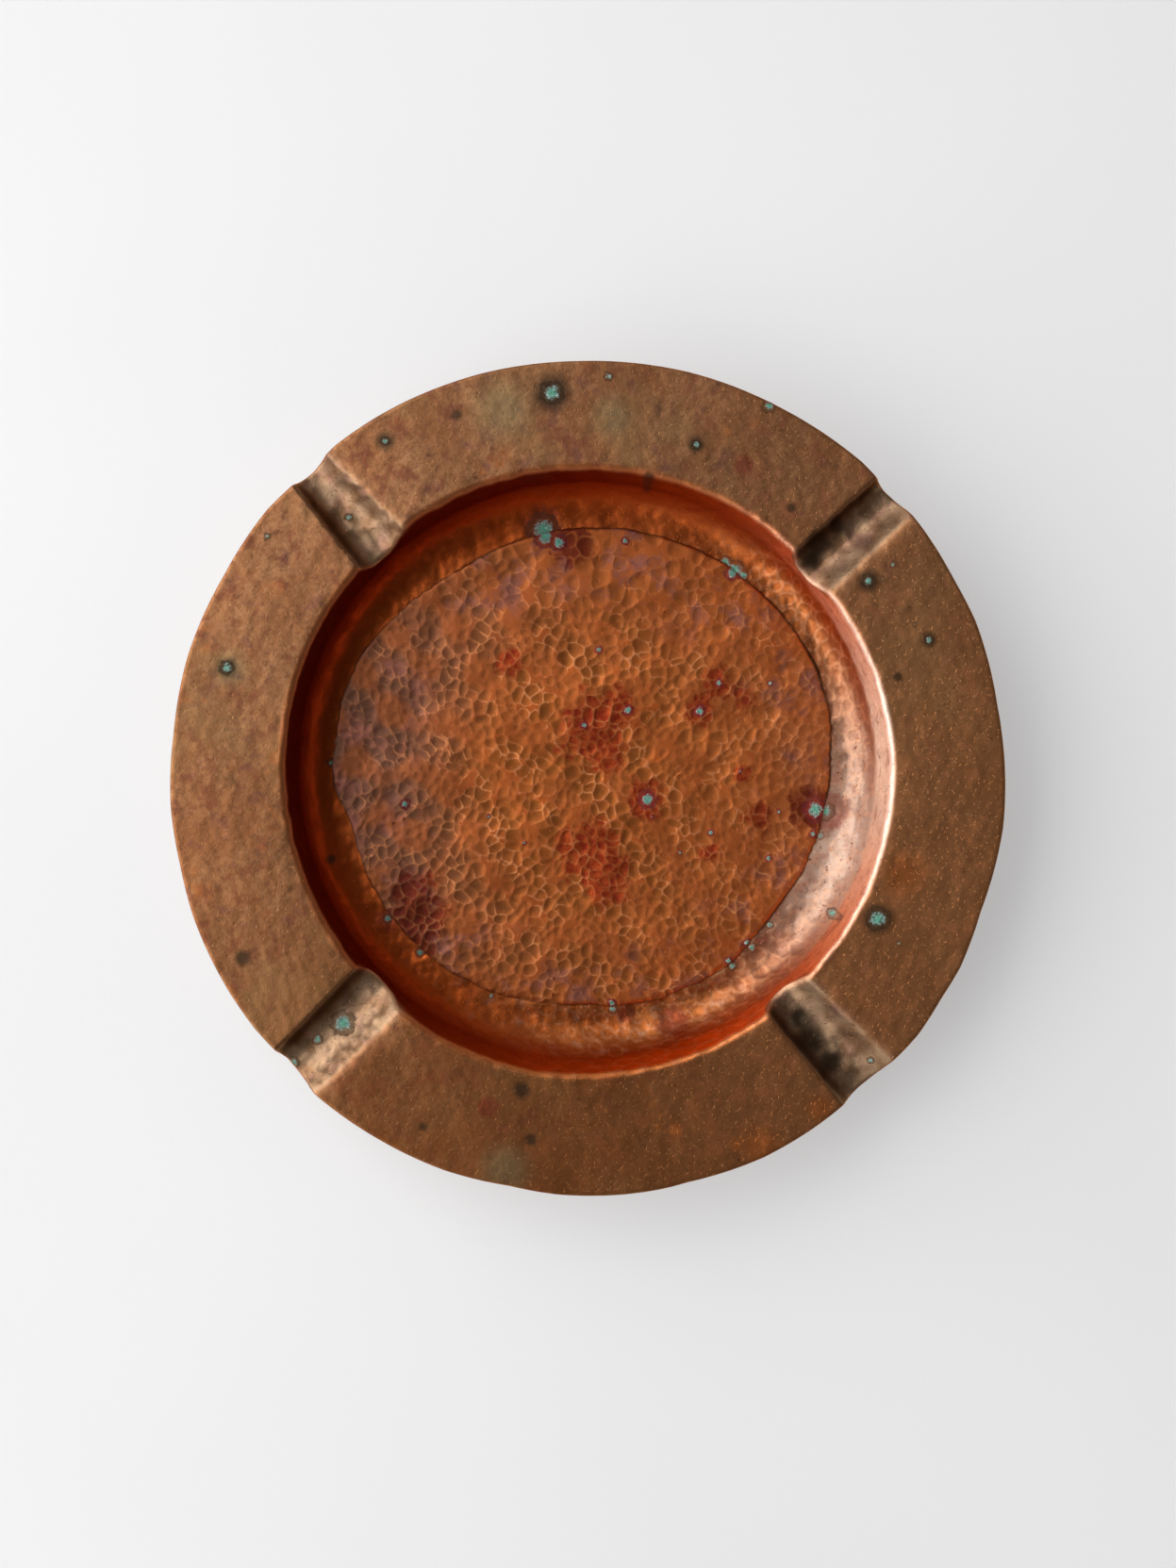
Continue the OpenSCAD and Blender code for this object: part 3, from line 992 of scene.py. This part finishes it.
def disc_copper():
    """Worn orange ground with thin bright lips round olive-brown dents, crimson patina and green crusts;
    painted light on the side away from the window, painted shade in the haze on the window's side and
    painted shadow along the seam.
    """
    material, tree, place = new_material("disc_copper")
    mottle = use_group(tree, PATINA_MOTTLE, {"Place": place, "Broad": 0.7, "Fine": 0.6})
    colour = over(tree, mottle["Blotch"], tint(212, 110, 50), tint(188, 92, 38))
    tone = mark(tree, "tone")
    dent = spread(tree, mark(tree, "dent"), 0.0, -0.045)
    shade = over(tree, tone, tint(196, 108, 50), tint(158, 94, 40))
    colour = over(tree, times(tree, dent, 0.8), colour, shade)
    deep = spread(tree, mark(tree, "dent"), -0.06, -0.16, 0, 0.6)
    colour = over(tree, deep, colour, tint(136, 80, 36))
    colour = over(tree, times(tree, mottle["Grain"], 0.25), colour, tint(176, 92, 48))
    # Mauve haze, partly painted shade on the window's side of the disc.
    colour = over(tree, times(tree, mark(tree, "haze"), 0.85), colour, tint(114, 82, 70))
    # Painted light on the disc's side away from the window.
    colour = over(tree, times(tree, mark(tree, "sunny"), 0.5), colour, tint(222, 124, 64))
    colour = over(tree, times(tree, mark(tree, "faint"), 0.55), colour, tint(186, 100, 50))
    bloom = spread(tree, clouds(tree, place, 8, 5, 0.6, 1.7), 0.5, 0.7)
    colour = over(tree, times(tree, bloom, mark(tree, "outer")), colour, tint(158, 98, 84))
    colour = over(tree, times(tree, mottle["Pepper"], 0.3), colour, tint(110, 60, 34))
    lip = times(tree, spread(tree, mark(tree, "ridge"), 0.34, 0.0),
                spread(tree, clouds(tree, place, 5, 4, 0.6, 2.1), 0.38, 0.64, 0.12, 0.85))
    # Fewer bright lips in the haze, which is partly painted shade.
    lip = times(tree, lip, spread(tree, mark(tree, "haze"), 0, 1, 1, 0.5))
    lip = times(tree, lip, spread(tree, mark(tree, "faint"), 0, 1, 1, 0.3))
    colour = over(tree, lip, colour, tint(246, 162, 104))
    crimson = plus(tree, mark(tree, "crimson"), clouds(tree, place, 2.6, 5, 0.65, 0.6))
    crimson = spread(tree, plus(tree, crimson, times(tree, tone, 0.35)), 0.82, 1.22, 0, 0.85)
    on_ground = spread(tree, mark(tree, "ridge"), 0.05, 0.45, 0.55, 1.0)
    flare = spread(tree, clouds(tree, place, 1.6, 4, 0.6, 2.9), 0.4, 0.62)
    blood = over(tree, flare, tint(184, 72, 34), tint(146, 34, 22))
    blood = over(tree, times(tree, mark(tree, "outer"), 0.8), blood, tint(96, 30, 24))
    colour = over(tree, times(tree, crimson, on_ground), colour, blood)
    # Dark joint round the disc, painted darker on the side away from the window as the shadow of its edge.
    colour = over(tree, spread(tree, mark(tree, "seam"), 0.3, 0.95, 0, 0.8), colour, tint(60, 40, 24))
    green = use_group(tree, VERDIGRIS, {"Place": place, "Level": mark(tree, "verdigris")})
    colour = over(tree, times(tree, green["Halo"], 0.7), colour, tint(138, 44, 44))
    colour = over(tree, times(tree, green["Ring"], 0.6), colour, tint(92, 50, 62))
    colour = over(tree, green["Crust"], colour, green["Colour"])
    bare = calc(tree, "SUBTRACT", 1.0, green["Crust"])
    metallic = times(tree, 0.92, bare)
    rough = plus(tree, 0.44, times(tree, green["Halo"], 0.3))
    skin = use_group(tree, METAL_SKIN, {"Place": place, "Pits": 0.4})["Height"]
    finish_material(tree, colour, metallic, rough, skin, 0.06)
    return material


def soft_solder():
    """Dull grey solder with a frosted, crazed face."""
    material, tree, place = new_material("soft_solder")
    mottle = use_group(tree, PATINA_MOTTLE, {"Place": place, "Broad": 0.6, "Fine": 0.6})
    colour = over(tree, mottle["Blotch"], tint(150, 150, 146), tint(118, 118, 116))
    colour = over(tree, mottle["Pepper"], colour, tint(84, 82, 78))
    rough = spread(tree, mottle["Freckle"], 0, 0.6, 0.42, 0.65)
    skin = use_group(tree, METAL_SKIN, {"Place": place, "Pits": 0.8})["Height"]
    finish_material(tree, colour, 0.85, rough, skin, 0.06)
    return material


def pale_table():
    """White acrylic sheet lit softly from below, with a barely seen tooth."""
    material, tree, place = new_material("pale_table")
    tooth = clouds(tree, place, 1.6, 4, 0.6)
    drift = clouds(tree, place, 180, 2, 0.5)
    colour = over(tree, spread(tree, drift, 0.3, 0.7), tint(192, 192, 193), tint(187, 187, 189))
    rough = spread(tree, tooth, 0.3, 0.7, 0.7, 0.8)
    shader = finish_material(tree, colour, 0.0, rough, tooth, 0.03)
    shader.inputs["Emission Color"].default_value = (1.0, 1.0, 1.0, 1.0)
    shader.inputs["Emission Strength"].default_value = 0.40
    return material


# ---------------------------------------------------------------- stage, lights and camera

WINDOW_BEARING = 131
TABLE_HALF = 5.0             # metres
LENS = 52.1
SENSOR = 36
CAMERA_PLACE = (-0.001, -0.0011, 0.576)
CAMERA_TURN = -43.05


def make_table():
    """Plain pale floor under the dish."""
    mesh = bpy.data.meshes.new("table_top")
    half = TABLE_HALF
    mesh.from_pydata([(-half, -half, 0), (half, -half, 0), (half, half, 0), (-half, half, 0)], [],
                     [(0, 1, 2, 3)])
    table = bpy.data.objects.new("table_top", mesh)
    bpy.context.scene.collection.objects.link(table)
    table.data.materials.append(pale_table())


def soft_box(name, bearing, rise, away, size, power, colour):
    """Flat area light, placed by bearing and rise in degrees and aimed at the dish."""
    light = bpy.data.lights.new(name, "AREA")
    light.shape = "RECTANGLE"
    light.size, light.size_y = size
    light.energy = power
    light.color = colour
    lamp = bpy.data.objects.new(name, light)
    angle, tilt = math.radians(bearing), math.radians(rise)
    lamp.location = (away * math.cos(angle) * math.cos(tilt), away * math.sin(angle) * math.cos(tilt),
                     away * math.sin(tilt))
    lamp.rotation_euler = (math.pi / 2 - tilt, 0, angle + math.pi / 2)
    bpy.context.scene.collection.objects.link(lamp)


def studio_world():
    """Surroundings bright on the window's side, dim opposite and overhead, and even low down."""
    world = bpy.data.worlds.new("studio")
    world.use_nodes = True
    tree = world.node_tree
    tree.nodes.clear()
    way = tree.nodes.new("ShaderNodeTexCoord").outputs["Generated"]
    side = math.radians(WINDOW_BEARING)
    towards = put(tree, "VectorMath", {0: way, 1: (math.cos(side), math.sin(side), 0)},
                  operation="DOT_PRODUCT").outputs["Value"]
    rise = put(tree, "SeparateXYZ", {0: way}).outputs[2]
    room = over(tree, spread(tree, towards, -0.7, 0.8), (0.10, 0.10, 0.10, 1), (0.85, 0.85, 0.87, 1))
    room = over(tree, spread(tree, rise, 0.06, 0.24), (0.62, 0.62, 0.63, 1), room)
    sky = over(tree, spread(tree, rise, 0.45, 0.9), room, (0.04, 0.04, 0.04, 1))
    background = put(tree, "Background", {"Color": sky, "Strength": 1.0})
    output = tree.nodes.new("ShaderNodeOutputWorld")
    tree.links.new(background.outputs[0], output.inputs["Surface"])
    bpy.context.scene.world = world


def make_camera():
    """Straight down on the dish, turned so that the rests stand on the diagonals."""
    data = bpy.data.cameras.new("camera")
    data.sensor_width = SENSOR
    data.lens = LENS
    camera = bpy.data.objects.new("camera", data)
    camera.location = CAMERA_PLACE
    camera.rotation_euler = (0, 0, math.radians(CAMERA_TURN))
    bpy.context.scene.collection.objects.link(camera)
    bpy.context.scene.camera = camera


make_camera()
studio_world()
soft_box("window", bearing=WINDOW_BEARING, rise=38, away=1.0, size=(1.7, 1.25), power=14.5,
         colour=(1.0, 0.99, 0.97))
soft_box("far_window", bearing=82, rise=60, away=1.6, size=(0.8, 0.8), power=3,
         colour=(0.98, 0.99, 1.0))
make_table()
bpy.context.scene.view_settings.view_transform = "Standard"

# ---------------------------------------------------------------- pieces

dish = make_piece("raised_dish", *dish_mesh())
dish.data.materials.append(raised_copper())
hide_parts("dish")
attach(dish, "root")

disc = make_piece("hammered_disc", *disc_mesh())
disc.data.materials.append(disc_copper())
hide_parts("floor_disc")
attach(disc, "root")

film = frame["nodes"]["solder_film"]
film.data.materials.clear()
film.data.materials.append(soft_solder())
